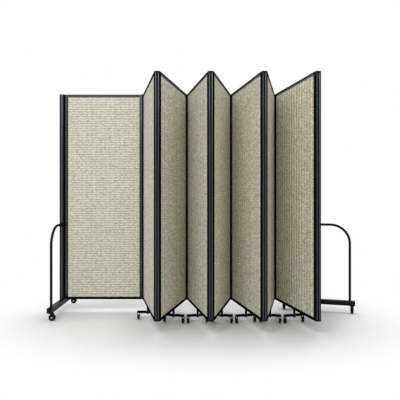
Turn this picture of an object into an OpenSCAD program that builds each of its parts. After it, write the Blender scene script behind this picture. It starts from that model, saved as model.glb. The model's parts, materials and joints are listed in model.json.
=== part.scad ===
// Accordion folding partition. Nine fabric panels are joined edge to edge by double-pivot hinges
// and fold into a zigzag. Small two-wheeled feet carry the folding panels, and a castered frame
// with two arched braces stands across each end.
// Lengths are in millimetres. +X runs along the partition from the flat first panel, the ridges
// point to -Y, and +Z is up, with the floor at z = 0.

/* [Panels] */
// Distance between the two hinge pivots of a panel
panel_l = 541.2; // [400:0.2:800]
// Height of a panel, frame included
panel_h = 1437; // [900:1:2400]
// Thickness of a panel frame, whose two long edges are rounded about the pivots
panel_t = 16; // [14:0.5:24]
// Gap between the floor and the panels
floor_gap = 87; // [80:1:140]
// Width of a stile, from the pivot to the fabric
stile_w = 19; // [19:0.5:40]
// Height of the top rail of a panel
top_rail_h = 19; // [18:0.5:50]
// Height of the bottom rail of a panel
bottom_rail_h = 17; // [16:0.5:50]
// Thickness of the fabric-covered board
board_t = 12.6; // [6:0.1:13]
// Depth of the groove in the frame that holds the board
groove_d = 7; // [3:0.5:7]
// Gap between the board's edge and the bottom of its groove
board_gap = 0.5; // [0.2:0.1:2]

/* [Folding] */
// Half the angle between two neighbouring panels as they stand folded
half_fold = 14.6; // [14.6:0.1:40]

/* [Hinges] */
// Gap between the rounded edges of two neighbouring panels
hinge_gap = 1.6; // [1.4:0.1:4]
// Height of the link caps at the top and the bottom of a hinge
cap_h = 12; // [6:0.5:20]
// How far the bottom cap stands out beyond the panel's faces
glide_rim = 1; // [0:0.1:2]
// Radius of a hinge pin
pin_r = 3; // [2:0.1:4]
// Length of a hinge pin inside the stile
pin_l = 30; // [15:1:60]
// Running clearance between a pin and its bore
run_gap = 0.05; // [0.02:0.01:0.1]
// Gap between a cap and the panel frame cut back around it
cap_gap = 0.6; // [0.4:0.1:2]
// Gap under or over a cap
seat_gap = 0.3; // [0.2:0.05:0.5]
// Thickness of the light seal strip between two panels
seal_t = 1; // [0.6:0.1:1]
// Width of the light seal strip
seal_w = 12; // [6:0.5:12]

/* [Feet] */
// Distance between the two wheels of a foot
foot_span = 124; // [80:1:124]
// Height of the underside of a foot's bar
foot_bar_z = 43; // [38:0.5:46]
// Height of a foot's bar
foot_bar_h = 10.5; // [6:0.5:14]
// Width of a foot's bar
foot_bar_w = 14; // [12:0.5:20]
// Radius of the swivel post under a panel
foot_post_r = 4.5; // [3:0.1:6]
// Radius of the boss around the swivel post
foot_hub_r = 10; // [9:0.5:16]
// How far the boss reaches below the bar
foot_hub_drop = 2; // [1:0.5:6]
// Distance from the first hinge to the foot of the second panel
first_foot_x = 195; // [120:1:270]
// Radius of a foot's wheel
foot_wheel_r = 16; // [10:0.5:17]
// Width of a foot's wheel
foot_wheel_w = 10; // [6:0.5:14]
// Distance that a foot's wheels trail behind its post
foot_trail = 6; // [0:0.5:8]

/* [End frames] */
// Width of an end post, across the frame
post_w = 28; // [20:0.5:40]
// Depth of an end post, along the frame
post_d = 30; // [20:0.5:34]
// Gap between the last pivot and the end post
post_gap = 9.5; // [9.5:0.1:14]
// Wall thickness of the posts and rails
tube_wall = 2; // [1:0.1:3]
// Length of a floor rail
rail_l = 500; // [480:1:800]
// Width of a floor rail
rail_w = 33; // [26:0.5:50]
// Height of a floor rail
rail_h = 31; // [20:0.5:31]
// Height of the underside of a floor rail
rail_z = 53; // [51:0.5:55]
// Thickness of the plugs that close a floor rail
plug_t = 5; // [2:0.5:8]
// How far the plugs stand out around the rail
plug_rim = 1; // [0:0.1:2]
// Height of the arches, measured to the tube's middle
arch_z = 611; // [400:1:800]
// Distance from the post's middle to the upright end of an arch
arch_y = 217; // [190:1:230]
// Bend radius of an arch, measured to the tube's middle
arch_bend = 130; // [60:1:160]
// Radius of the arch tube
arch_r = 8.5; // [6:0.1:12]
// Wall thickness of the arch tube
arch_wall = 1.5; // [1:0.1:3]

/* [End casters] */
// Distance from the post's middle to a caster's swivel axis
caster_y = 230; // [215:1:232]
// Radius of an end caster's wheel
caster_wheel_r = 22; // [16:0.5:23]
// Width of an end caster's wheel
caster_wheel_w = 15; // [10:0.5:18]
// Distance that the wheel trails behind the swivel axis
caster_trail = 11; // [6:0.5:14]
// Radius of a caster's stem
stem_r = 5; // [3:0.1:6]
// Length of a stem inside the rail
stem_l = 22; // [10:0.5:24]

/* [Forks and axles] */
// Thickness of a fork's cheeks
cheek_t = 2.5; // [1.5:0.1:3]
// Gap between a wheel and each cheek
cheek_gap = 0.5; // [0.3:0.1:1]
// Radius of a foot wheel's axle
foot_axle_r = 2; // [1.5:0.1:3]
// Radius of an end caster's axle
caster_axle_r = 3; // [2:0.1:4]
// How far an axle's head stands out of its cheek
axle_head = 1; // [0.5:0.1:2]
// Bevel along the edges of a wheel's tread
tread_bevel = 2; // [1:0.1:3]

/* [Hidden] */
PANELS = 9;
$fn = 48;
past = 1; // how far a cut runs past the face that it opens
top_z = floor_gap + panel_h;
cap_r = panel_t / 2;
glide_r = cap_r + glide_rim;
pivot_gap = panel_t + hinge_gap;
foot_top_z = foot_bar_z + foot_bar_h;
foot_hub_z = foot_bar_z - foot_hub_drop;
foot_nut_h = 3;
foot_collar_h = 3;
foot_collar_step = 2;
foot_collar_r = foot_hub_r - foot_collar_step;
foot_cheek_rim = 4;
foot_cheek_r = foot_axle_r + foot_cheek_rim;
foot_reach = foot_span / 2 + foot_wheel_w / 2 + cheek_gap + cheek_t;
caster_cheek_rim = 5;
caster_cheek_r = caster_axle_r + caster_cheek_rim;
crown_t = 4;
race_t = 2;
race_rim = 8;
race_r = stem_r + race_rim;
crown_top_z = rail_z - seat_gap - race_t;
socket_wall = 4;
socket_r = stem_r + socket_wall;
hub_wall = 2.5;
dish_share = 0.62; // radius of a wheel's dished face as a share of the wheel's
dish_depth = 0.12; // depth of the dish as a share of the wheel's width
frame_x = post_gap + post_w / 2;
rail_top_z = rail_z + rail_h;
ENDS = ["left", "right"];
SIDES = ["a", "b"];

function unit(a) = [cos(a), sin(a)];
function even(k) = k % 2 == 0;

// Direction in which panel k runs, and the hinge link after it
function panel_dir(k) = k == 1 ? 0 : even(k) ? half_fold - 90 : 90 - half_fold;
function link_dir(k) = (panel_dir(k) + panel_dir(k + 1)) / 2;

// Pivots at the two edges of panel k, with the first panel's right pivot at the origin
function near_pivot(k) =
    k == 1 ? [-panel_l, 0] : far_pivot(k - 1) + pivot_gap * unit(link_dir(k - 1));
function far_pivot(k) = near_pivot(k) + panel_l * unit(panel_dir(k));

// Feet stand under the middle of their panels, apart from the one beside the flat first panel
function foot_x(k) = k == 2 ? first_foot_x : panel_l / 2;
function foot_pos(k) = near_pivot(k) + foot_x(k) * unit(panel_dir(k));
function foot_dir(k) = k == 2 ? -90 : even(k) ? panel_dir(k) : panel_dir(k) - 180;

// Where each end frame is hinged, and the direction in which it stands off its panel
function end_pivot(e) = e == "left" ? near_pivot(1) : far_pivot(PANELS);
function end_dir(e) = e == "left" ? panel_dir(1) + 180 : panel_dir(PANELS);

// Middle of the part's outline seen from above
rail_out = frame_x + rail_w / 2 + plug_rim;
min_x = end_pivot("left").x - rail_out;
max_x = end_pivot("right").x + rail_out * cos(end_dir("right")) + rail_l / 2 * sin(end_dir("right"));
min_y = far_pivot(2).y - glide_r;
max_y = end_pivot("left").y + rail_l / 2;
middle = [(min_x + max_x) / 2, (min_y + max_y) / 2];

module placed(p, a) {
    translate([p.x - middle.x, p.y - middle.y, 0]) rotate([0, 0, a]) children();
}

// A box between two corners
module box(low, high) {
    translate(low) cube(high - low);
}

// A cylinder along Y, centred on its point
module rod_y(p, r, l) {
    translate(p) rotate([90, 0, 0]) cylinder(r = r, h = l, center = true);
}

// Both edges of a panel, each with its pivot on the Z axis and the panel towards +X
module both_edges() {
    children();
    translate([panel_l, 0, 0]) mirror([1, 0, 0]) children();
}

// The four pins of a hinge are one shape, and their bores the same shape grown
module edge_pins(grow) {
    translate([0, 0, floor_gap + cap_h / 2])
        cylinder(r = pin_r + grow, h = cap_h / 2 + pin_l + sign(grow) * past);
    translate([0, 0, top_z - cap_h - pin_l - sign(grow) * past])
        cylinder(r = pin_r + grow, h = cap_h / 2 + pin_l + sign(grow) * past);
}

module foot_post() {
    nut_z = foot_hub_z - seat_gap;
    translate([0, 0, nut_z - foot_nut_h]) cylinder(r = foot_collar_r, h = foot_nut_h);
    translate([0, 0, nut_z]) cylinder(r = foot_post_r, h = floor_gap + past - nut_z);
    translate([0, 0, foot_top_z + seat_gap]) cylinder(r = foot_collar_r, h = foot_collar_h);
}

module panel_frame(k) {
    half = panel_t / 2;
    opening_low = floor_gap + bottom_rail_h;
    opening_high = top_z - top_rail_h;
    placed(near_pivot(k), panel_dir(k)) color("#34363b") difference() {
        union() {
            box([0, -half, floor_gap], [panel_l, half, top_z]);
            both_edges() translate([0, 0, floor_gap]) cylinder(r = half, h = panel_h);
            if (k > 1 && k < PANELS) translate([foot_x(k), 0, 0]) foot_post();
        }
        box([stile_w, -panel_t, opening_low], [panel_l - stile_w, panel_t, opening_high]);
        box([stile_w - groove_d, -board_t / 2, opening_low - groove_d],
            [panel_l - stile_w + groove_d, board_t / 2, opening_high + groove_d]);
        both_edges() {
            box([-panel_t, -panel_t, floor_gap - past],
                [glide_r + cap_gap, panel_t, floor_gap + cap_h + seat_gap]);
            box([-panel_t, -panel_t, top_z - cap_h - seat_gap],
                [cap_r + cap_gap, panel_t, top_z + past]);
            edge_pins(run_gap);
        }
    }
}

module infill(k) {
    inset = stile_w - groove_d + board_gap;
    low = floor_gap + bottom_rail_h - groove_d + board_gap;
    high = top_z - top_rail_h + groove_d - board_gap;
    placed(near_pivot(k), panel_dir(k)) color("#c9c4b4")
        box([inset, -board_t / 2, low], [panel_l - inset, board_t / 2, high]);
}

module link_cap(r, z) {
    translate([0, 0, z]) {
        cylinder(r = r, h = cap_h);
        translate([pivot_gap, 0, 0]) cylinder(r = r, h = cap_h);
        box([0, -r, 0], [pivot_gap, r, cap_h]);
    }
}

// The link between panel k and the next one
module hinge_link(k) {
    placed(far_pivot(k), link_dir(k)) color("#1d1e21") {
        link_cap(glide_r, floor_gap);
        link_cap(cap_r, top_z - cap_h);
        box([(pivot_gap - seal_t) / 2, -seal_w / 2, floor_gap],
            [(pivot_gap + seal_t) / 2, seal_w / 2, top_z]);
        for (x = [0, pivot_gap]) translate([x, 0, 0]) edge_pins(0);
    }
}

// A wheel about the Y axis, with bevelled tread edges, a dished face and a bore for its axle
module wheel(r, w, axle_r) {
    dish_r = r * dish_share;
    hub_r = axle_r + hub_wall;
    dish = w * dish_depth;
    rotate([90, 0, 0]) rotate_extrude() polygon([
        [axle_r + run_gap, -w / 2], [hub_r, -w / 2], [hub_r, dish - w / 2],
        [dish_r, dish - w / 2], [dish_r, -w / 2], [r - tread_bevel, -w / 2],
        [r, tread_bevel - w / 2], [r, w / 2 - tread_bevel], [r - tread_bevel, w / 2],
        [dish_r, w / 2], [dish_r, w / 2 - dish], [hub_r, w / 2 - dish],
        [hub_r, w / 2], [axle_r + run_gap, w / 2]]);
}

// Two cheeks hanging from z_top around a wheel at -trail, with the axle through them
module fork(z_top, z_axle, trail, cheek_r, axle_r, w, x_out) {
    mid = w / 2 + cheek_gap + cheek_t / 2;
    for (s = [-1, 1]) {
        rod_y([-trail, s * mid, z_axle], cheek_r, cheek_t);
        box([-trail - cheek_r, s * mid - cheek_t / 2, z_axle],
            [x_out, s * mid + cheek_t / 2, z_top]);
    }
    rod_y([-trail, 0, z_axle], axle_r, w + 2 * (cheek_gap + cheek_t + axle_head));
}

module foot(k) {
    placed(foot_pos(k), foot_dir(k)) color("#26272b") difference() {
        union() {
            box([-foot_bar_w / 2, -foot_reach, foot_bar_z],
                [foot_bar_w / 2, foot_reach, foot_top_z]);
            translate([0, 0, foot_hub_z]) cylinder(r = foot_hub_r, h = foot_top_z - foot_hub_z);
            for (s = [-1, 1]) translate([0, s * foot_span / 2, 0])
                fork(foot_bar_z + past, foot_wheel_r, foot_trail, foot_cheek_r, foot_axle_r,
                    foot_wheel_w, 0);
        }
        translate([0, 0, foot_hub_z - past])
            cylinder(r = foot_post_r + run_gap, h = foot_top_z - foot_hub_z + 2 * past);
    }
}

module foot_wheel(k, side) {
    y = (side == "a" ? -1 : 1) * foot_span / 2;
    placed(foot_pos(k), foot_dir(k)) color("#151517")
        translate([-foot_trail, y, foot_wheel_r]) wheel(foot_wheel_r, foot_wheel_w, foot_axle_r);
}

module rail() {
    half_w = rail_w / 2;
    in_l = rail_l / 2 - plug_t;
    difference() {
        union() {
            difference() {
                box([-half_w, -in_l, rail_z], [half_w, in_l, rail_top_z]);
                box([tube_wall - half_w, -in_l - past, rail_z + tube_wall],
                    [half_w - tube_wall, in_l + past, rail_top_z - tube_wall]);
            }
            for (s = [-1, 1]) {
                translate([0, s * (rail_l - plug_t) / 2, rail_z + rail_h / 2])
                    cube([rail_w + 2 * plug_rim, plug_t, rail_h + 2 * plug_rim], center = true);
                translate([0, s * caster_y, rail_z]) cylinder(r = socket_r, h = rail_h);
            }
        }
        for (s = [-1, 1]) translate([0, s * caster_y, rail_z - past])
            cylinder(r = stem_r + run_gap, h = stem_l + 2 * past);
    }
}

module post() {
    difference() {
        box([-post_w / 2, -post_d / 2, rail_top_z], [post_w / 2, post_d / 2, top_z]);
        box([tube_wall - post_w / 2, tube_wall - post_d / 2, rail_top_z - past],
            [post_w / 2 - tube_wall, post_d / 2 - tube_wall, top_z - tube_wall]);
    }
}

// The two brackets that carry the pins of the end hinge
module post_brackets() {
    for (b = [[cap_r, top_z - cap_h], [glide_r, floor_gap]]) translate([0, 0, b[1]]) {
        cylinder(r = b[0], h = cap_h);
        box([0, -b[0], 0], [post_gap + tube_wall / 2, b[0], cap_h]);
    }
}

module end_frame(e) {
    placed(end_pivot(e), end_dir(e)) color("#2c2d31") {
        translate([frame_x, 0, 0]) {
            rail();
            post();
        }
        post_brackets();
        edge_pins(0);
    }
}

// One arch of radius r: up from the rail, around the bend and level to the post
module arch_path(r) {
    bend_z = arch_z - arch_bend;
    bend_y = arch_y - arch_bend;
    translate([0, arch_y, rail_top_z]) cylinder(r = r, h = bend_z - rail_top_z);
    translate([0, bend_y, bend_z]) rotate([90, 0, 90]) rotate_extrude(angle = 90)
        translate([arch_bend, 0]) circle(r = r);
    translate([0, post_d / 2, arch_z]) rotate([-90, 0, 0]) cylinder(r = r, h = bend_y - post_d / 2);
}

module arches(e) {
    placed(end_pivot(e), end_dir(e)) color("#2c2d31") translate([frame_x, 0, 0])
        for (s = [0, 1]) mirror([0, s, 0]) difference() {
            arch_path(arch_r);
            arch_path(arch_r - arch_wall);
        }
}

// Places a caster of frame e with its swivel axis on the Z axis
module at_caster(e, side) {
    y = (side == "a" ? -1 : 1) * caster_y;
    placed(end_pivot(e), end_dir(e)) translate([frame_x, y, 0]) children();
}

module caster_fork(e, side) {
    half_w = caster_wheel_w / 2 + cheek_gap + cheek_t;
    crown_z = crown_top_z - crown_t;
    at_caster(e, side) color("#26272b") {
        translate([0, 0, crown_top_z - past]) cylinder(r = stem_r, h = rail_z + stem_l - crown_top_z);
        translate([0, 0, crown_z]) cylinder(r = race_r, h = crown_t + race_t);
        box([-caster_trail - caster_cheek_r, -half_w, crown_z], [0, half_w, crown_top_z]);
        fork(crown_z + past, caster_wheel_r, caster_trail, caster_cheek_r, caster_axle_r,
            caster_wheel_w, caster_cheek_r - caster_trail);
    }
}

module caster_wheel(e, side) {
    at_caster(e, side) color("#151517") translate([-caster_trail, 0, caster_wheel_r])
        wheel(caster_wheel_r, caster_wheel_w, caster_axle_r);
}

for (k = [1:PANELS]) {
    panel_frame(k);
    infill(k);
}
for (k = [1:PANELS - 1]) {
    hinge_link(k);
}
for (k = [2:PANELS - 1]) {
    foot(k);
    for (s = SIDES)
        foot_wheel(k, s);
}
for (e = ENDS) {
    end_frame(e);
    arches(e);
    for (s = SIDES) {
        caster_fork(e, s);
        caster_wheel(e, s);
    }
}
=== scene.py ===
"""Accordion folding partition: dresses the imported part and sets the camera, floor and lights."""

import json
import math

import bmesh
import bpy
from mathutils import Matrix, Vector

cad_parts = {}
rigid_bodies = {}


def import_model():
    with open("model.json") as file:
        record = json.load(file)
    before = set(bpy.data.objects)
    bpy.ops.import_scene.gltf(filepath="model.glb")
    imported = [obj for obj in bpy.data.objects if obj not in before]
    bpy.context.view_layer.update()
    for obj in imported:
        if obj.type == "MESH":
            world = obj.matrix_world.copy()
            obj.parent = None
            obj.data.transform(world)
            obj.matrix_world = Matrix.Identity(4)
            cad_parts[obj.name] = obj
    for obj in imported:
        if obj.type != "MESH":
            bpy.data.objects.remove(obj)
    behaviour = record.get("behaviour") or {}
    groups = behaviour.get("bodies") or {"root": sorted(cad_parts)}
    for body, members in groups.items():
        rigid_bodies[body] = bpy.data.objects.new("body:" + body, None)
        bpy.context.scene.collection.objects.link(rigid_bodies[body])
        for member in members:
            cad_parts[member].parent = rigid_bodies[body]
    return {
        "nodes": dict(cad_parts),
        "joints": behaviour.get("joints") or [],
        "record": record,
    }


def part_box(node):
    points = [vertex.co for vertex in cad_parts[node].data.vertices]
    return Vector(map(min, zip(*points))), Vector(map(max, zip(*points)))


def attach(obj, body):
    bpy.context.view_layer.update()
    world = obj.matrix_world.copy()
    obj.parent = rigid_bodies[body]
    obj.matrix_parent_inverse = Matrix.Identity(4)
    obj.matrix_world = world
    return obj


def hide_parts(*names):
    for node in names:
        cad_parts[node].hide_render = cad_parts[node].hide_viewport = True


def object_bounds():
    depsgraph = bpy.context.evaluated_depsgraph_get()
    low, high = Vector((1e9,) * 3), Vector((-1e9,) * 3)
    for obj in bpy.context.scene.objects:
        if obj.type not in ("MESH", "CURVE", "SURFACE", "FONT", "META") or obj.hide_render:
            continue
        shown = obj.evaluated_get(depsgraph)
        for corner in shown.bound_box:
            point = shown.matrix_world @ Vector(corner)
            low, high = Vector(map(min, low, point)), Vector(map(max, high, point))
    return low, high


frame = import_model()
cad_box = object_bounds()

# Sizes repeated from the part's source, in metres
PANELS = 9
STILE_W = 0.019  # from a pivot to the fabric
TOP_RAIL_H = 0.019
BOTTOM_RAIL_H = 0.017
PANEL_HALF_T = 0.008
BOARD_HALF_T = 0.0063
GROOVE_D = 0.007
FLOOR_GAP = 0.087
CAP_H = 0.012
CAP_SEAT = 0.0003  # under or over a cap
FRAME_X = 0.0235  # from an end pivot to the middle of its post
POST_HALF_W = 0.014
POST_HALF_D = 0.015
RAIL_TOP = 0.084
ARCH_Y = 0.217
ARCH_Z = 0.611
ARCH_R = 0.0085
PANEL_TOP = cad_box[1].z

JOINTS = {j["name"]: j for j in frame["joints"]}


def pivot(name):
    """The point of the plan that a joint turns about."""
    x, y, _ = JOINTS[name]["pos_m"]
    return Vector((x, y, 0))


def edge_pivot(hinge, panel):
    """The point of the plan where a panel turns on one of its hinges."""
    ends = {f"hinge_{hinge}", f"panel_{panel}"}
    return pivot(next(n for n, j in JOINTS.items() if {j["parent"], j["child"]} == ends))


def plan_matrix(origin, along):
    """A frame with its X axis along a direction of the plan, and Z up."""
    x = along.normalized()
    y = Vector((0, 0, 1)).cross(x)
    rows = Matrix((x, y, Vector((0, 0, 1)))).transposed()
    return Matrix.Translation(origin) @ rows.to_4x4()


def axis_matrix(point, axis):
    """A frame at a point with its Z axis along a direction."""
    return Matrix.Translation(point) @ Vector(axis).to_track_quat("Z", "Y").to_matrix().to_4x4()


def panel_place(k):
    """Panel k's own frame at its first pivot, and its length from pivot to pivot."""
    near = pivot("end_hinge_left") if k == 1 else edge_pivot(k - 1, k)
    far = pivot("end_hinge_right") if k == PANELS else edge_pivot(k, k)
    return plan_matrix(near, far - near), (far - near).length


def end_place(end):
    """An end frame's own frame: X off the panel, Y along the rail, at the middle of the post."""
    matrix, _ = panel_place(1 if end == "left" else PANELS)
    out = matrix.col[0].to_3d() * (-1 if end == "left" else 1)
    return plan_matrix(pivot(f"end_hinge_{end}") + out * FRAME_X, out)


# ---------------------------------------------------------------- node trees

NOISE_RANGE = (0.3, 0.7)  # where most of a noise's values lie


class Nodes:
    """Short calls for building the node tree of a material or a world."""

    def __init__(self, owner, output):
        owner.use_nodes = True
        self.tree = owner.node_tree
        self.tree.nodes.clear()
        self.output = self.add(output)

    def link(self, a, b):
        """Joins an output to an input."""
        self.tree.links.new(a, b)

    def feed(self, socket, value):
        """Links an output to an input, or sets the input's own number or colour."""
        if isinstance(value, bpy.types.NodeSocket):
            self.link(value, socket)
        elif socket.type == "RGBA":
            socket.default_value = (*value, 1)
        else:
            socket.default_value = value

    def add(self, kind, settings=None, **inputs):
        """A new node. An input goes by its name, or by its number after an i."""
        node = self.tree.nodes.new(kind)
        for key, value in (settings or {}).items():
            setattr(node, key, value)
        for key, value in inputs.items():
            numbered = key[0] == "i" and key[1:].isdigit()
            self.feed(node.inputs[int(key[1:]) if numbered else key], value)
        return node

    def math(self, operation, a, b=0.0, c=0.0):
        """One sum."""
        return self.add("ShaderNodeMath", {"operation": operation}, i0=a, i1=b, i2=c).outputs[0]

    def remap(self, value, low, high, to_low=0.0, to_high=1.0):
        """Carries one range over to another with soft ends, and holds it there."""
        node = self.add("ShaderNodeMapRange", {"interpolation_type": "SMOOTHSTEP"}, Value=value)
        for key, v in zip(("From Min", "From Max", "To Min", "To Max"), (low, high, to_low, to_high)):
            node.inputs[key].default_value = v
        return node.outputs[0]

    def mix(self, factor, a, b):
        """A colour between two others."""
        return self.add("ShaderNodeMix", {"data_type": "RGBA"}, i0=factor, i6=a, i7=b).outputs[2]

    def chance(self, number):
        """A random value for each whole number."""
        node = self.add("ShaderNodeTexWhiteNoise", {"noise_dimensions": "1D"}, W=number)
        return node.outputs["Value"]

    def cells(self, column, line):
        """A random value for each whole pair of column and line."""
        place = self.add("ShaderNodeCombineXYZ", None, X=column, Y=line).outputs[0]
        node = self.add("ShaderNodeTexWhiteNoise", {"noise_dimensions": "2D"}, Vector=place)
        return node.outputs["Value"]

    def ramp(self, value, stops):
        """The colour of the last stop that a value has passed."""
        node = self.add("ShaderNodeValToRGB", None, Fac=value)
        node.color_ramp.interpolation = "CONSTANT"
        elements = node.color_ramp.elements
        while len(elements) < len(stops):
            elements.new(1.0)
        for element, (place, colour) in zip(elements, stops):
            element.position = place
            element.color = (*colour, 1)
        return node.outputs[0]

    def noise(self, vector, scale, detail):
        """Soft noise with about as many features to the metre as its scale."""
        return self.add("ShaderNodeTexNoise", None, Vector=vector, Scale=scale, Detail=detail).outputs[0]

    def stretch(self, vector, x, y, z=1.0):
        """A place multiplied along each axis."""
        return self.add("ShaderNodeMapping", None, Vector=vector, Scale=(x, y, z)).outputs[0]


class Surface(Nodes):
    """The node tree of a material with one Principled shader."""

    def __init__(self, name):
        self.material = bpy.data.materials.new(name)
        super().__init__(self.material, "ShaderNodeOutputMaterial")
        self.shader = self.add("ShaderNodeBsdfPrincipled")
        self.link(self.shader.outputs[0], self.output.inputs["Surface"])

    def bump(self, height, distance, strength):
        """Gives the shader a bumpy surface."""
        node = self.add("ShaderNodeBump", None, Height=height, Distance=distance, Strength=strength)
        self.link(node.outputs[0], self.shader.inputs["Normal"])

    def set(self, **values):
        """Feeds inputs of the shader by name, with _ for a space."""
        for key, value in values.items():
            self.feed(self.shader.inputs[key.replace("_", " ")], value)


# ---------------------------------------------------------------- cloth

# Height of one slubbed yarn, and the lengths over which it keeps its colour and its lightness
FLAT_YARN = (0.00415, 0.0068, 0.0085)
FOLD_YARN = (0.0062, 0.009, 0.0135)
THREAD = 0.0021  # spacing of the fine threads
ROW = 0.0166  # spacing of the rows of darker dashes
COLUMN = 0.0165  # width of the upright bands
CREAM = (0.857, 0.79, 0.59)
STONE = (0.59, 0.575, 0.48)
SAGE = (0.645, 0.68, 0.405)
CLAY = (0.785, 0.61, 0.53)
SHADE = (0.35, 0.315, 0.225)
DEEP = (0.15, 0.125, 0.085)  # what the darker lengths, rows and bands go towards
YARN_STARTS = (0.0, 0.38, 0.62, 0.80, 0.955)  # where each yarn colour starts in a random draw, cream first
WOBBLES = 40  # features to the metre of the noise that makes the coloured lengths unequal
WOBBLE = 1.6  # how far it shifts them, in lengths
RUN_SHIFT = 7.3  # shifts the lengths of lightness otherwise than the coloured ones
DULL_DRAW = (0.35, 0.75)  # from here to there in a random draw, a length goes from light to dark
ROW_EDGE = (0.12, 0.26)  # where a row starts to fade and where it ends, off its middle, in rows
ROW_NOISE = (90, 60)  # features to the metre of the noise that breaks the rows, across and up
ROW_BREAK = (0.30, 0.50)  # from here to there in that noise, a row goes from faint to full
BAND_BREAK = (0.25, 0.75)  # from here to there in a random draw, a dash of a band does the same
FAINT = 0.35  # what is left of a row or a band where it is faint
BAND_TURN = 0.8  # how much darker every second band is
BAND_OWN = 0.2  # how much the bands differ besides
THREAD_SHADE = 0.16  # how dark the painted shade between the threads is
THREAD_RISE = 0.0003  # height of the threads
YARN_RISE = 0.8  # how much the yarns differ in height, in threads


def fabric_material(name, tint_and_painted_light, yarn_sizes, uneven, rows, columns):
    """Heathered upholstery cloth: slubbed yarns in five close colours, with rows of darker dashes across
    and bands up it, over fine threads. uneven, rows and columns are the strengths of the darker lengths
    of yarn, of the rows and of the bands."""
    n = Surface(name)
    yarn, slub, run_length = yarn_sizes
    # every colour is multiplied by the panel's colour factor, which also paints light: the folding copies
    # are warmer, as light thrown back between the panels would make them
    colours = [tuple(a * b for a, b in zip(c, tint_and_painted_light)) for c in (CREAM, STONE, SAGE, CLAY, SHADE, DEEP)]
    shade, deep = colours[-2:]
    uv = n.add("ShaderNodeUVMap", {"uv_map": "UVMap"}).outputs[0]
    across, up = n.add("ShaderNodeSeparateXYZ", None, Vector=uv).outputs[0:2]

    # each yarn is cut into lengths of its own colour, shifted at random from yarn to yarn
    line = n.math("FLOOR", n.math("DIVIDE", up, yarn))
    shift = n.chance(line)
    wobble = n.math("MULTIPLY", n.noise(n.stretch(uv, WOBBLES, WOBBLES), 1.0, 1.0), WOBBLE)
    place = n.math("ADD", n.math("ADD", n.math("DIVIDE", across, slub), shift), wobble)
    pick = n.cells(n.math("FLOOR", place), line)
    colour = n.ramp(pick, list(zip(YARN_STARTS, colours)))

    # and into other lengths, of which some are darker
    run = n.math("ADD", n.math("DIVIDE", across, run_length), n.math("MULTIPLY", shift, RUN_SHIFT))
    dull = n.remap(n.cells(n.math("FLOOR", run), line), *DULL_DRAW)
    colour = n.mix(n.math("MULTIPLY", dull, uneven), colour, deep)

    # rows of darker dashes, broken at random along their length
    row = n.math("ABSOLUTE", n.math("SUBTRACT", n.math("FRACT", n.math("DIVIDE", up, ROW)), 0.5))
    dash = n.remap(n.noise(n.stretch(uv, *ROW_NOISE), 1.0, 1.0), *ROW_BREAK, FAINT, 1)
    dark = n.math("MULTIPLY", n.remap(row, *ROW_EDGE, 1, 0), dash)
    colour = n.mix(n.math("MULTIPLY", dark, rows), colour, deep)

    # bands up the cloth, light and dark by turns, each of its own strength, the dark ones broken into dashes
    band = n.math("FLOOR", n.math("DIVIDE", across, COLUMN))
    dashes = n.remap(n.cells(band, line), *BAND_BREAK, FAINT, 1)
    turn = n.math("MULTIPLY", n.math("FRACT", n.math("MULTIPLY", band, 0.5)), 2 * BAND_TURN)
    own = n.math("MULTIPLY", n.chance(band), BAND_OWN)
    depth = n.math("MULTIPLY", n.math("ADD", n.math("MULTIPLY", turn, dashes), own), columns)
    colour = n.mix(depth, colour, deep)

    # threads over and under one another, with painted shade in the hollows between them
    warp = n.math("SINE", n.math("MULTIPLY", across, 2 * math.pi / THREAD))
    weft = n.math("SINE", n.math("MULTIPLY", up, 2 * math.pi / THREAD))
    weave = n.math("MULTIPLY", warp, weft)
    colour = n.mix(n.remap(weave, -1, 1, THREAD_SHADE, 0), colour, shade)
    n.bump(n.math("ADD", weave, n.math("MULTIPLY", pick, YARN_RISE)), THREAD_RISE, 0.7)
    n.set(Base_Color=colour, Roughness=0.92, Specular_IOR_Level=0.12)
    n.set(Sheen_Weight=0.12, Sheen_Roughness=0.5)
    return n.material


# ---------------------------------------------------------------- other materials

METAL_SHARE = 0.94  # the rest of the anodised surface scatters light evenly
COAT_CLOUDS = 7.0  # features to the metre of the faint cloudiness of a coat
METAL_CLOUDS = 5.0
STEEL_CLOUDS = 160.0
DIE_LINES = (900, 900, 2.5)  # features to the metre of the die lines, which run up the piece
STEEL_ROUGHNESS = (0.25, 0.42)


def coated_material(name, colour, lighter, roughness, specular, grain=900.0, rise=0.00004):
    """Paint, plastic, rubber, and the grey painted highlight and darker painted shade on the top rails: a
    fine grain, faint cloudiness and slightly uneven gloss.
    """
    n = Surface(name)
    place = n.add("ShaderNodeTexCoord").outputs["Object"]
    cloud = n.noise(place, COAT_CLOUDS, 3.0)
    n.set(Base_Color=n.mix(n.remap(cloud, *NOISE_RANGE), colour, lighter))
    n.set(Roughness=n.remap(cloud, *NOISE_RANGE, roughness - 0.04, roughness + 0.05))
    n.set(Specular_IOR_Level=specular)
    n.bump(n.noise(place, grain, 2.0), rise, 0.6)
    return n.material


def drawn_material(name, colour, lighter, roughness):
    """Extruded aluminium, anodised black, with faint die lines. It has no bright rim at a grazing angle."""
    n = Surface(name)
    place = n.add("ShaderNodeTexCoord").outputs["Object"]
    lines = n.noise(n.stretch(place, *DIE_LINES), 1.0, 2.0)
    cloud = n.noise(place, METAL_CLOUDS, 3.0)
    n.set(Base_Color=n.mix(n.remap(cloud, *NOISE_RANGE), colour, lighter), Metallic=METAL_SHARE)
    n.set(Roughness=n.remap(lines, *NOISE_RANGE, roughness - 0.05, roughness + 0.06))
    n.set(Specular_Tint=(0, 0, 0), Specular_IOR_Level=0.0)
    n.bump(lines, 0.00005, 0.5)
    return n.material


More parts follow.
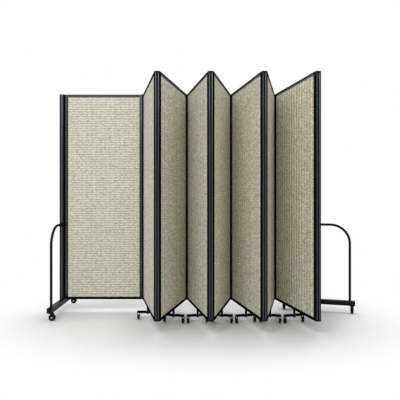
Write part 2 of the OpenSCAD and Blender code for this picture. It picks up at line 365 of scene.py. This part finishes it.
def steel_material():
    """Zinc-plated steel for pin heads and axle heads."""
    n = Surface("plated_steel")
    cloud = n.noise(n.add("ShaderNodeTexCoord").outputs["Object"], STEEL_CLOUDS, 3.0)
    n.set(Base_Color=n.mix(n.remap(cloud, *NOISE_RANGE), (0.55, 0.56, 0.58), (0.7, 0.7, 0.71)))
    n.set(Roughness=n.remap(cloud, *NOISE_RANGE, *STEEL_ROUGHNESS), Metallic=1.0)
    n.bump(cloud, 0.00005, 0.4)
    return n.material


# Three copies of one cloth. Their colour factors make up for their patterns' different darkness. They also
# paint light: the second and folding copies are warmer than the flat one, as light thrown back between the
# panels makes them.
FLAT_FABRIC = fabric_material("woven_cloth", (0.961, 0.965, 1.006), FLAT_YARN, 0.1, 0.43, 0.12)
PLAIN_FABRIC_WITH_PAINTED_LIGHT = fabric_material("woven_cloth_second_painted_light", (1.044, 1.045, 1.060), FOLD_YARN, 0.22, 0.14, 0.48)
FOLD_FABRIC_WITH_PAINTED_LIGHT = fabric_material("woven_cloth_folding_painted_light", (1.103, 1.095, 1.05), FOLD_YARN, 0.24, 0.12, 0.62)
ALUMINIUM = drawn_material("black_anodised", (0.056, 0.061, 0.071), (0.066, 0.072, 0.083), 0.22)
STEEL = steel_material()
PAINT = coated_material("black_paint", (0.004, 0.0044, 0.0052), (0.007, 0.0075, 0.0085), 0.36, 0.08)
# the satin and slate materials are the painted highlight and painted shade of the top rails
SATIN_PAINTED_HIGHLIGHT = coated_material("satin_painted_highlight", (0.105, 0.112, 0.130), (0.120, 0.128, 0.145), 0.42, 0.0)
SLATE_PAINTED_SHADE = coated_material("slate_painted_shade", (0.062, 0.068, 0.082), (0.070, 0.077, 0.092), 0.42, 0.0)
GEAR_PAINT = coated_material("gear_paint", (0.0025, 0.0026, 0.003), (0.0045, 0.0047, 0.0053), 0.4, 0.04)
PLASTIC = coated_material(
    "moulded_plastic", (0.004, 0.004, 0.005), (0.007, 0.007, 0.008), 0.45, 0.1, 500.0, 0.00008
)
# black vinyl for real parts, also used for strips that paint shade on the panels' rounded edges and top
# rails
BLACK_VINYL_AND_PAINTED_SHADE = coated_material(
    "black_vinyl_and_painted_shade", (0.0022, 0.0022, 0.0026), (0.0036, 0.0036, 0.0042), 0.5, 0.0, 420.0, 0.00006
)
RUBBER = coated_material(
    "black_rubber", (0.003, 0.003, 0.0036), (0.006, 0.006, 0.007), 0.62, 0.04, 700.0, 0.0001
)
HUB = coated_material("wheel_hub", (0.03, 0.03, 0.033), (0.045, 0.045, 0.048), 0.45, 0.4, 600.0, 0.00006)
PANEL_LOOKS = {1: FLAT_FABRIC, 2: PLAIN_FABRIC_WITH_PAINTED_LIGHT}  # and the folding cloth on every other panel
SLOT_LOOKS = {
    "frame": ALUMINIUM,
    "fabric": FLAT_FABRIC,
    "hinge": PLASTIC,
    "end_frame": PAINT,
    "running_gear": GEAR_PAINT,
    "wheel": RUBBER,
}


def dress_cad_nodes():
    """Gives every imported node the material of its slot."""
    slots = {s["node"]: s["material_slot"] for s in frame["record"]["subparts"]}
    for name, obj in frame["nodes"].items():
        obj.data.materials.clear()
        obj.data.materials.append(SLOT_LOOKS[slots[name]])


# ---------------------------------------------------------------- mesh tools

SINK = 0.0002  # how far the foot of a strip or a flat sits in what carries it
CLEAR = 0.00002  # air between two faces that lie against each other
ON_AXIS = 0.0001  # radius at which a turned form is taken to be closed


def finish_piece(name, bm, material, body, smooth_deg=35):
    """Turns a bmesh in the row frame into a piece that rides on a body."""
    bmesh.ops.recalc_face_normals(bm, faces=bm.faces)
    mesh = bpy.data.meshes.new(name)
    bm.to_mesh(mesh)
    bm.free()
    for polygon in mesh.polygons:
        polygon.use_smooth = True
    mesh.set_sharp_from_angle(angle=math.radians(smooth_deg))
    mesh.materials.append(material)
    obj = bpy.data.objects.new(name, mesh)
    bpy.context.scene.collection.objects.link(obj)
    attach(obj, body)
    return obj


def join_rings(bm, a, b):
    """Faces between two closed rings of points."""
    for j in range(len(a)):
        j2 = (j + 1) % len(a)
        bm.faces.new((a[j], b[j], b[j2], a[j2]))


def lathe(bm, matrix, profile, segments=32):
    """Adds a closed turned form about the matrix's Z axis. profile is [(radius, height), ...], closed."""
    rings = []
    for i in range(segments):
        a = 2 * math.pi * i / segments
        ring = [bm.verts.new(matrix @ Vector((r * math.cos(a), r * math.sin(a), h))) for r, h in profile]
        rings.append(ring)
    for i in range(segments):
        join_rings(bm, rings[i], rings[(i + 1) % segments])


def prism(bm, start, stop):
    """Adds a closed bar from one ring of points to another."""
    rings = [[bm.verts.new(point) for point in ring] for ring in (start, stop)]
    join_rings(bm, *rings)
    for ring in rings:
        bm.faces.new(ring)


def arc_points(cx, cy, r, start, stop, steps):
    """Points of an arc in a profile, from one angle to another in degrees."""
    out = []
    for i in range(steps + 1):
        a = math.radians(start + (stop - start) * i / steps)
        out.append((cx + r * math.cos(a), cy + r * math.sin(a)))
    return out


# ---------------------------------------------------------------- cloth boards

SOFT_EDGE = 0.012  # width over which the cloth face rises beside the frame
CROWN = 0.0008  # how far the cloth face stands above its edge
GRID = 0.045  # spacing of the board's grid away from its edges
EDGE_GRID = (0, GROOVE_D, 0.0085, 0.0105, 0.013, 0.016, GROOVE_D + SOFT_EDGE)  # and beside its edges
BOARD_PLAY = 0.0005  # from the board's edge to the bottom of the groove
WEAVE_STEP = 0.731  # how far the weave moves on from panel to panel, so that no two are the same


def grid_lines(low, high):
    """Places of a board's grid lines: close together beside the frame and even between."""
    inner = high - low - 2 * EDGE_GRID[-1]
    steps = max(2, round(inner / GRID))
    middle = [EDGE_GRID[-1] + inner * i / steps for i in range(1, steps)]
    return [low + d for d in [*EDGE_GRID, *middle]] + [high - d for d in reversed(EDGE_GRID)]


def crown(x, z, low, high):
    """How far the cloth face stands proud at a point of the board."""
    d = min(x - low[0], high[0] - x, z - low[1], high[1] - z) - GROOVE_D
    t = min(1.0, max(0.0, d / SOFT_EDGE))
    return CROWN * t * t * (3 - 2 * t)


def fabric_board(k):
    """The cloth-covered board of panel k, with a soft edge where the cloth goes into the frame."""
    matrix, length = panel_place(k)
    box_low, box_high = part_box(f"infill_{k}")
    inset = STILE_W - GROOVE_D + BOARD_PLAY
    low, high = (inset, box_low.z), (length - inset, box_high.z)
    xs, zs = grid_lines(low[0], high[0]), grid_lines(low[1], high[1])
    last_x, last_z = len(xs) - 1, len(zs) - 1
    bm = bmesh.new()
    uv = bm.loops.layers.uv.new("UVMap")
    sides = []
    for side in (-1, 1):
        rows = []
        for z in zs:
            heights = [BOARD_HALF_T + crown(x, z, low, high) for x in xs]
            rows.append([bm.verts.new((x, side * y, z)) for x, y in zip(xs, heights)])
        sides.append(rows)
        for j in range(last_z):
            for i in range(last_x):
                bm.faces.new((rows[j][i], rows[j][i + 1], rows[j + 1][i + 1], rows[j + 1][i]))
    front, back = sides
    for i in range(last_x):
        for j in (0, last_z):
            bm.faces.new((front[j][i], front[j][i + 1], back[j][i + 1], back[j][i]))
    for j in range(last_z):
        for i in (0, last_x):
            bm.faces.new((front[j][i], front[j + 1][i], back[j + 1][i], back[j][i]))
    for face in bm.faces:
        for loop in face.loops:
            co = loop.vert.co
            loop[uv].uv = (co.x + WEAVE_STEP * k, co.z)
    bmesh.ops.transform(bm, matrix=matrix, verts=bm.verts)
    cloth = PANEL_LOOKS.get(k, FOLD_FABRIC_WITH_PAINTED_LIGHT)
    board = finish_piece(f"fabric_board_{k}", bm, cloth, f"panel_{k}")
    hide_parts(f"infill_{k}")


# ---------------------------------------------------------------- strips on the panels

SPLINE_IN = 0.0118  # from a pivot to the outer edge of a spline
SPLINE_OUT = 0.0192  # from a pivot to its edge over the cloth
SPLINE_RISE = 0.0004  # how far a spline stands off the frame
SPLINE_BEVELS = (0.0004, 0.0008, 0.0006)  # across its outer edge, and across and down its inner one
SHOULDER_T = 0.0001  # thickness of a shoulder strip
SHOULDER_FROM = 24  # degrees round from the edge's nose, where a shoulder strip starts
SHOULDER_FLAT = 0.003  # from a pivot to where the strip ends on the flat of the stile
SHOULDER_END_GAP = 0.0004  # between a strip's end and the cut-back of the frame round a cap
SHOULDER_STEPS = 14
SWEEP_T = 0.0004  # how far the sweep stands off the rail
SWEEP_INSET = 0.0108  # from a pivot to the end of the sweep
SWEEP_EDGE = 0.0012  # rounding of its lower edges
SWEEP_BELOW = 0.0005  # from the top of the bottom rail to the sweep
LIP_RISE = 0.0003  # how far a lip stands off the top rail
LIP_ABOVE = 0.0008  # from the bottom of the rail to the lip
LIP_BELOW = 0.0108  # from the top of the rail to the lip
LIP_INSET = 0.0195  # from a pivot to the end of the lip
FULL_LIP_BELOW = 0.0004  # from the top of the rail to a lip of full height
FULL_LIPS_PAINTED_SHADE = {1: SLATE_PAINTED_SHADE, 2: BLACK_VINYL_AND_PAINTED_SHADE, 7: BLACK_VINYL_AND_PAINTED_SHADE}  # panels whose lips have full height and carry painted shade, and their darker material


def edge_strips(name, k, profile, low, high, smooth_deg):
    """Black strips of one profile (x, y) up both edges of panel k, on both faces, in the black vinyl that
    also paints shade.
    """
    matrix, length = panel_place(k)
    bm = bmesh.new()
    for side in (-1, 1):
        for flip in (False, True):
            plan = [(length - x if flip else x, side * y) for x, y in profile]
            prism(bm, [(x, y, low) for x, y in plan], [(x, y, high) for x, y in plan])
    bmesh.ops.transform(bm, matrix=matrix, verts=bm.verts)
    finish_piece(name, bm, BLACK_VINYL_AND_PAINTED_SHADE, f"panel_{k}", smooth_deg)


def splines_and_painted_shade(k):
    """Strips beside the cloth of panel k, over its joint with the stiles: a spline whose black is also
    painted shade of the groove where the cloth goes into the frame.
    """
    top = PANEL_HALF_T + SPLINE_RISE
    outer, across, down = SPLINE_BEVELS
    profile = [(SPLINE_IN, PANEL_HALF_T - SINK / 2), (SPLINE_IN + outer, top), (SPLINE_OUT - across, top)]
    profile += [(SPLINE_OUT, top - down), (SPLINE_OUT, BOARD_HALF_T - SINK)]
    profile += [(STILE_W + CLEAR, BOARD_HALF_T - SINK), (STILE_W + CLEAR, PANEL_HALF_T - SINK / 2)]
    edge_strips(f"splines_{k}", k, profile, FLOOR_GAP + BOTTOM_RAIL_H, PANEL_TOP - TOP_RAIL_H, 35)


def shoulder_strips_painted_shade(k):
    """Black strips on the rounded sides of panel k's two long edges, beside the bare nose: painted shade
    where the rounded edge turns away.
    """
    end_gap = CAP_H + CAP_SEAT + SHOULDER_END_GAP
    inner, outer = PANEL_HALF_T - SINK, PANEL_HALF_T + SHOULDER_T
    skin = [(SHOULDER_FLAT, outer)]
    skin += [(-x, y) for x, y in arc_points(0, 0, outer, 90, SHOULDER_FROM, SHOULDER_STEPS)]
    skin += [(-x, y) for x, y in arc_points(0, 0, inner, SHOULDER_FROM, 90, SHOULDER_STEPS)]
    skin += [(SHOULDER_FLAT, inner)]
    edge_strips(f"shoulders_{k}", k, skin, FLOOR_GAP + end_gap, PANEL_TOP - end_gap, 30)


def sweep(k):
    """The black channel clipped over the bottom rail of panel k, with rounded lower edges."""
    matrix, length = panel_place(k)
    y, inner = PANEL_HALF_T + SWEEP_T, PANEL_HALF_T + CLEAR
    low, high = FLOOR_GAP - SWEEP_T, FLOOR_GAP + BOTTOM_RAIL_H - SWEEP_BELOW
    profile = [(PANEL_HALF_T, high), (y - SWEEP_T / 2, high), (y, high - SWEEP_EDGE / 2)]
    profile += [(y, low + SWEEP_EDGE), (y - SWEEP_EDGE * 0.3, low + SWEEP_EDGE * 0.3), (y - SWEEP_EDGE, low)]
    profile += [(-a, z) for a, z in reversed(profile)]
    profile += [(-inner, FLOOR_GAP - CLEAR), (inner, FLOOR_GAP - CLEAR)]
    bm = bmesh.new()
    prism(bm, *([(x, a, z) for a, z in profile] for x in (SWEEP_INSET, length - SWEEP_INSET)))
    bmesh.ops.transform(bm, matrix=matrix, verts=bm.verts)
    finish_piece(f"sweep_{k}", bm, BLACK_VINYL_AND_PAINTED_SHADE, f"panel_{k}")


def rail_lips_painted_light(k):
    """The flats along both faces of the top rail of panel k: a satin painted highlight under the rail's
    black upper edge, or a darker painted shade of full height."""
    matrix, length = panel_place(k)
    low = PANEL_TOP - TOP_RAIL_H + LIP_ABOVE
    high = PANEL_TOP - (FULL_LIP_BELOW if k in FULL_LIPS_PAINTED_SHADE else LIP_BELOW)
    foot, outer = PANEL_HALF_T - SINK, PANEL_HALF_T + LIP_RISE
    profile = [(foot, low), (outer - LIP_RISE / 2, low), (outer, low + LIP_RISE)]
    profile += [(outer, high - LIP_RISE), (outer - LIP_RISE / 2, high), (foot, high)]
    bm = bmesh.new()
    for side in (-1, 1):
        prism(bm, *([(x, side * y, z) for y, z in profile] for x in (LIP_INSET, length - LIP_INSET)))
    bmesh.ops.transform(bm, matrix=matrix, verts=bm.verts)
    finish_piece(f"rail_lips_painted_light_{k}", bm, FULL_LIPS_PAINTED_SHADE.get(k, SATIN_PAINTED_HIGHLIGHT), f"panel_{k}")


# ---------------------------------------------------------------- hinges

PIN_HEAD = (0.0034, 0.0012)  # radius and height
HEAD_FOOT = 0.0004  # how deep a head's foot sits
HEAD_SIDES = 20
BULB_R = 0.0015
BULB_Y = 0.0042  # from the middle of a seal to a bulb
BULB_GAP = 0.0003  # between a bulb's end and the caps
BULB_SIDES = 14


def head(bm, matrix, r, rise):
    """A low domed pin head with a socket in it, standing on the matrix's origin."""
    profile = [(ON_AXIS, -HEAD_FOOT), (r, -HEAD_FOOT), (r, rise * 0.3), (r * 0.8, rise * 0.8)]
    profile += [(r * 0.5, rise), (r * 0.42, rise), (r * 0.38, rise * 0.35), (ON_AXIS, rise * 0.3)]
    lathe(bm, matrix, profile, HEAD_SIDES)


def hinge_screws(k):
    """Pin heads on the top and bottom caps of the hinge between panel k and the next."""
    bm = bmesh.new()
    for p in (edge_pivot(k, k), edge_pivot(k, k + 1)):
        head(bm, axis_matrix(p + Vector((0, 0, PANEL_TOP)), (0, 0, 1)), *PIN_HEAD)
        head(bm, axis_matrix(p + Vector((0, 0, FLOOR_GAP)), (0, 0, -1)), *PIN_HEAD)
    finish_piece(f"hinge_screws_{k}", bm, STEEL, f"hinge_{k}")


def seal_bulbs(k):
    """Soft bulbs on both edges of the light seal, which close the sight line past it."""
    start, end = edge_pivot(k, k), edge_pivot(k, k + 1)
    matrix = plan_matrix((start + end) / 2, end - start)
    low, high = FLOOR_GAP + CAP_H + BULB_GAP, PANEL_TOP - CAP_H - BULB_GAP
    profile = [(ON_AXIS, 0), (BULB_R, 0), (BULB_R, high - low), (ON_AXIS, high - low)]
    bm = bmesh.new()
    for side in (-1, 1):
        lathe(bm, matrix @ Matrix.Translation((0, side * BULB_Y, low)), profile, BULB_SIDES)
    finish_piece(f"seal_bulbs_{k}", bm, BLACK_VINYL_AND_PAINTED_SHADE, f"hinge_{k}")


# ---------------------------------------------------------------- wheels and feet

# Radius, half width, axle radius and radius of the dish of a wheel
FOOT_WHEEL = (0.016, 0.005, 0.002, 0.0105)
CASTER_WHEEL = (0.022, 0.0075, 0.003, 0.0145)
WHEEL_SIDES = 48
TREAD_ROUND = 0.42  # rounding of a tread, in half widths
WEB_OUT = 0.55  # how far out the hub's web is, in half widths
FACE_OUT = 0.9  # and its rim
BOSS_SHARE = 2.1  # radius of the hub's boss, in axle radii
RIM_SHARES = (0.86, 0.92)  # where the web ends and the rim starts, as shares of the dish

# Reach from the wheel's middle to a head on its axle, the head's radius and its height
FOOT_AXLE = (0.009, 0.0029, 0.0014)
CASTER_AXLE = (0.0115, 0.0042, 0.0014)

FOOT_TOP = 0.0535  # height of the top of a foot's bar
FOOT_BAR_HALF_W = 0.007
FOOT_END = 0.0705  # from a foot's post to the end of its bar
COVER_RISE = 0.0042  # how far a cover stands above the bar
COVER_DROP = 0.0095  # how far its sides reach down
COVER_SKIN = 0.0005  # how far a cover stands off the sides of the bar
COVER_FROM = 0.0115  # from a foot's post to a cover
COVER_ROUND = (0.0022, 0.0007)  # rounding of its upper edges, and how near its middle comes to the corner
COVER_SEAT = 0.0001  # from the top of the bar to the cover
SLEEVE_R = 0.0069
SLEEVE_BORE = 0.0046
SLEEVE_EDGE = 0.0006
SLEEVE_LOW = FOOT_TOP + 0.0036


def wheel_pieces(joint, name, r, half_w, axle_r, dish_r):
    """A wheel's rubber tread and its ribbed hub, in place of the plain turned wheel."""
    j = JOINTS[joint]
    matrix = axis_matrix(Vector(j["pos_m"]), j["axis"])
    edge = half_w * TREAD_ROUND
    tread = arc_points(r - edge, half_w - edge, edge, 90, 0, 6)
    tread += arc_points(r - edge, -(half_w - edge), edge, 0, -90, 6)
    bm = bmesh.new()
    lathe(bm, matrix, [(dish_r, half_w)] + tread + [(dish_r, -half_w)], WHEEL_SIDES)
    tyre = finish_piece(name + "_tread", bm, RUBBER, name, 50)
    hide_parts(name)
    boss, web, face = axle_r * BOSS_SHARE, half_w * WEB_OUT, half_w * FACE_OUT
    web_r, rim_r = (dish_r * share for share in RIM_SHARES)
    side = [(boss, half_w), (boss, web), (web_r, web), (rim_r, face), (dish_r, face)]
    profile = [(axle_r, half_w)] + side + [(x, -y) for x, y in reversed(side)] + [(axle_r, -half_w)]
    bm = bmesh.new()
    lathe(bm, matrix, profile, WHEEL_SIDES)
    finish_piece(name + "_hub", bm, HUB, name, 40)


def axle_heads(joint, name, body, reach, r, rise):
    """Bright heads on the two ends of a wheel's axle."""
    j = JOINTS[joint]
    axis = Vector(j["axis"])
    bm = bmesh.new()
    for s in (-1, 1):
        head(bm, axis_matrix(Vector(j["pos_m"]) + axis * s * reach, axis * s), r, rise)
    finish_piece(name, bm, STEEL, body)


def foot_covers(k):
    """Moulded covers over the two arms of the bar of foot k."""
    a, b = (Vector(JOINTS[f"foot_roll_{k}{s}"]["pos_m"]) for s in "ab")
    along = b - a
    along.z = 0
    matrix = plan_matrix(pivot(f"foot_swivel_{k}"), along)
    half, inner = FOOT_BAR_HALF_W + COVER_SKIN, FOOT_BAR_HALF_W + COVER_SKIN * 0.1
    low, seat, top = FOOT_TOP - COVER_DROP, FOOT_TOP + COVER_SEAT, FOOT_TOP + COVER_RISE
    edge, near = COVER_ROUND
    profile = [(-half, low), (-half, top - edge), (-half + near, top - near), (-half + edge, top)]
    profile += [(-y, z) for y, z in reversed(profile)]
    profile += [(inner, low), (inner, seat), (-inner, seat), (-inner, low)]
    bm = bmesh.new()
    for s in (-1, 1):
        prism(bm, *([(s * x, y, z) for y, z in profile] for x in (COVER_FROM, FOOT_END)))
    bmesh.ops.transform(bm, matrix=matrix, verts=bm.verts)
    finish_piece(f"foot_covers_{k}", bm, BLACK_VINYL_AND_PAINTED_SHADE, f"foot_{k}")


def foot_sleeve(k):
    """The sleeve on the swivel post of foot k, up to the sweep."""
    high = FLOOR_GAP - SWEEP_T
    profile = [(SLEEVE_BORE, SLEEVE_LOW), (SLEEVE_R - SLEEVE_EDGE, SLEEVE_LOW)]
    profile += [(SLEEVE_R, SLEEVE_LOW + SLEEVE_EDGE), (SLEEVE_R, high), (SLEEVE_BORE, high)]
    bm = bmesh.new()
    lathe(bm, Matrix.Translation(pivot(f"foot_swivel_{k}")), profile)
    finish_piece(f"foot_sleeve_{k}", bm, BLACK_VINYL_AND_PAINTED_SHADE, f"panel_{k}")


def feet():
    """The covers, sleeves, wheels and axle heads of the feet under the middle panels."""
    for k in range(2, PANELS):
        foot_covers(k)
        foot_sleeve(k)
        for s in "ab":
            wheel_pieces(f"foot_roll_{k}{s}", f"foot_wheel_{k}{s}", *FOOT_WHEEL)
            axle_heads(f"foot_roll_{k}{s}", f"foot_axle_{k}{s}", f"foot_{k}", *FOOT_AXLE)


def casters():
    """The wheels and axle heads of the casters of both end frames."""
    for name in ("left_a", "left_b", "right_a", "right_b"):
        wheel_pieces(f"caster_roll_{name}", f"caster_wheel_{name}", *CASTER_WHEEL)
        axle_heads(f"caster_roll_{name}", f"caster_axle_{name}", f"caster_{name}", *CASTER_AXLE)


# ---------------------------------------------------------------- end frames

WELD_R = 0.0021
WELD_OUT = 0.3  # how far a weld's middle stands outside its tube, in weld radii
WELD_SIDES = 8
FACE_RISE = 0.0005  # how far the flats of a post stand off its corners
FACE_HALF = 0.0068  # half the width of a flat
FACE_EDGE = 0.0006  # rounding of a flat's long edges
FACE_GAP = 0.0005  # from the rail to a flat
FACE_BELOW = 0.0006  # from the top of the post to a flat


def post_faces(end):
    """The raised flats up the four sides of a post, between its black corners. They leave out the arches."""
    matrix = end_place(end)
    foot, crest = RAIL_TOP + FACE_GAP, PANEL_TOP - FACE_BELOW
    arch_low, arch_high = ARCH_Z - ARCH_R - 3 * WELD_R, ARCH_Z + ARCH_R + 3 * WELD_R
    plain = (POST_HALF_W, [(foot, crest)])
    arched = (POST_HALF_D, [(arch_high, crest), (foot, arch_low)])
    bm = bmesh.new()
    for turn, (half, spans) in zip((0, 90, 180, 270), (plain, arched, plain, arched)):
        side = matrix @ Matrix.Rotation(math.radians(turn), 4, "Z")
        base, top = half - SINK, half + FACE_RISE
        profile = [(base, -FACE_HALF), (top - FACE_EDGE / 2, -FACE_HALF), (top, FACE_EDGE - FACE_HALF)]
        profile += [(top, FACE_HALF - FACE_EDGE), (top - FACE_EDGE / 2, FACE_HALF), (base, FACE_HALF)]
        for span in spans:
            prism(bm, *([side @ Vector((x, y, z)) for x, y in profile] for z in span))
    finish_piece(f"post_faces_{end}", bm, ALUMINIUM, f"end_frame_{end}", 60)


def welds(end):
    """Weld beads where the arches meet the rail and the post of an end frame."""
    matrix = end_place(end)
    last = 360 * (WELD_SIDES - 1) / WELD_SIDES
    bead = arc_points(ARCH_R + WELD_R * WELD_OUT, 0, WELD_R, 0, last, WELD_SIDES - 1)
    bm = bmesh.new()
    for s in (-1, 1):
        lathe(bm, axis_matrix(matrix @ Vector((0, s * ARCH_Y, RAIL_TOP)), (0, 0, 1)), bead)
        side = matrix @ Vector((0, s * POST_HALF_D, ARCH_Z))
        lathe(bm, axis_matrix(side, matrix.to_3x3() @ Vector((0, s, 0))), bead)
    finish_piece(f"welds_{end}", bm, PAINT, f"end_frame_{end}", 60)


# ---------------------------------------------------------------- stage

WHITE = (1, 1, 1)
FLOOR_COLOUR = (0.98, 0.945, 0.90)
SHADED_FLOOR = (0.46, 0.443, 0.42)  # painted shade where the object closes it in
CLOSE_BY = 0.3  # reach of that closing in
FLOOR_FOR_LIGHT = (0.80, 0.80, 0.80)  # the floor for light that it throws back at the object
FLOOR_REACH = 30
FADE_DEPTH = 1.6  # how much faster the floor fades towards the camera than sideways
FADE = (0.85, 1.55)  # where it starts to fade and where it is white, from the middle
HORIZON_LIGHT = 1.12  # strength of the studio's light at the horizon
DOME_DROP = 0.9  # how much weaker it is straight above
COOL = (0.957, 1.0, 1.08)
LIGHTS = (  # name, place, target, width and height, power
    ("key", (-0.9, -3.3, 3.2), (0, 0, 0.9), (3.0, 1.2), 84),
    ("top", (0.4, 0.9, 3.6), (0.35, 0.7, 0), (2.4, 1.6), 50),
    ("rim", (-0.05, -6.2, 2.75), (0, 0, 1.3), (2.6, 0.4), 24),
)
CAMERA_PLACE = (-0.0443, -2.7602, 0.7837)
LENS = 37.16
SENSOR = 36


def background_rays(n):
    """1 for the rays that show the background: those of the camera, of gloss and through glass."""
    path = n.add("ShaderNodeLightPath").outputs
    seen = n.math("MAXIMUM", path["Is Camera Ray"], path["Is Glossy Ray"])
    return n.math("MAXIMUM", seen, path["Is Transmission Ray"])


def stage_floor():
    """A large pale floor with painted shade under the object, that fades to the white background away from
    it.
    """
    n = Surface("floor")
    seen = background_rays(n)
    open_share = n.add("ShaderNodeAmbientOcclusion", {"samples": 8}, Distance=CLOSE_BY).outputs["AO"]
    colour = n.mix(open_share, SHADED_FLOOR, FLOOR_COLOUR)
    n.set(Base_Color=n.mix(seen, FLOOR_FOR_LIGHT, colour), Roughness=0.9, Specular_IOR_Level=0.0)
    place = n.stretch(n.add("ShaderNodeTexCoord").outputs["Object"], 1, FADE_DEPTH)
    radius = n.add("ShaderNodeVectorMath", {"operation": "LENGTH"}, i0=place).outputs["Value"]
    fade = n.math("MULTIPLY", n.remap(radius, *FADE), seen)
    white = n.add("ShaderNodeEmission", None, Color=WHITE, Strength=1.0).outputs[0]
    both = n.add("ShaderNodeMixShader", None, i0=fade, i1=n.shader.outputs[0], i2=white)
    n.link(both.outputs[0], n.output.inputs["Surface"])
    bm = bmesh.new()
    bmesh.ops.create_grid(bm, x_segments=1, y_segments=1, size=FLOOR_REACH)
    mesh = bpy.data.meshes.new("floor")
    bm.to_mesh(mesh)
    bm.free()
    mesh.materials.append(n.material)
    obj = bpy.data.objects.new("floor", mesh)
    bpy.context.scene.collection.objects.link(obj)


def area_light(name, place, target, size, power):
    """A cool rectangular light that faces its target."""
    light = bpy.data.lights.new(name, "AREA")
    light.shape = "RECTANGLE"
    light.size, light.size_y = size
    light.energy = power
    light.color = COOL
    obj = bpy.data.objects.new(name, light)
    obj.location = place
    direction = Vector(target) - Vector(place)
    obj.rotation_euler = direction.to_track_quat("-Z", "Y").to_euler()
    bpy.context.scene.collection.objects.link(obj)


def studio():
    """A cool, even dome that is dimmer overhead, a wide soft key in front, a weaker light above and a low
    one far behind the camera."""
    world = bpy.data.worlds.new("studio")
    bpy.context.scene.world = world
    n = Nodes(world, "ShaderNodeOutputWorld")
    way = n.add("ShaderNodeTexCoord").outputs["Generated"]
    height = n.math("MAXIMUM", n.add("ShaderNodeSeparateXYZ", None, Vector=way).outputs["Z"])
    strength = n.math("MULTIPLY_ADD", height, -DOME_DROP, HORIZON_LIGHT)
    lit = n.add("ShaderNodeBackground", None, Color=COOL, Strength=strength).outputs[0]
    white = n.add("ShaderNodeBackground", None, Color=WHITE).outputs[0]
    both = n.add("ShaderNodeMixShader", None, i0=background_rays(n), i1=lit, i2=white)
    n.link(both.outputs[0], n.output.inputs["Surface"])
    for light in LIGHTS:
        area_light(*light)


def camera():
    """A level camera with the photo's place and lens."""
    data = bpy.data.cameras.new("camera")
    data.lens = LENS
    data.sensor_width = SENSOR
    obj = bpy.data.objects.new("camera", data)
    obj.location = CAMERA_PLACE
    obj.rotation_euler = (math.radians(90), 0, 0)
    bpy.context.scene.collection.objects.link(obj)
    bpy.context.scene.camera = obj


camera()
studio()
stage_floor()
bpy.context.scene.view_settings.view_transform = "Standard"
dress_cad_nodes()
for k in range(1, PANELS + 1):
    fabric_board(k)
    splines_and_painted_shade(k)
    shoulder_strips_painted_shade(k)
    sweep(k)
    rail_lips_painted_light(k)
for k in range(1, PANELS):
    hinge_screws(k)
    seal_bulbs(k)
feet()
casters()
for end in ("left", "right"):
    welds(end)
    post_faces(end)
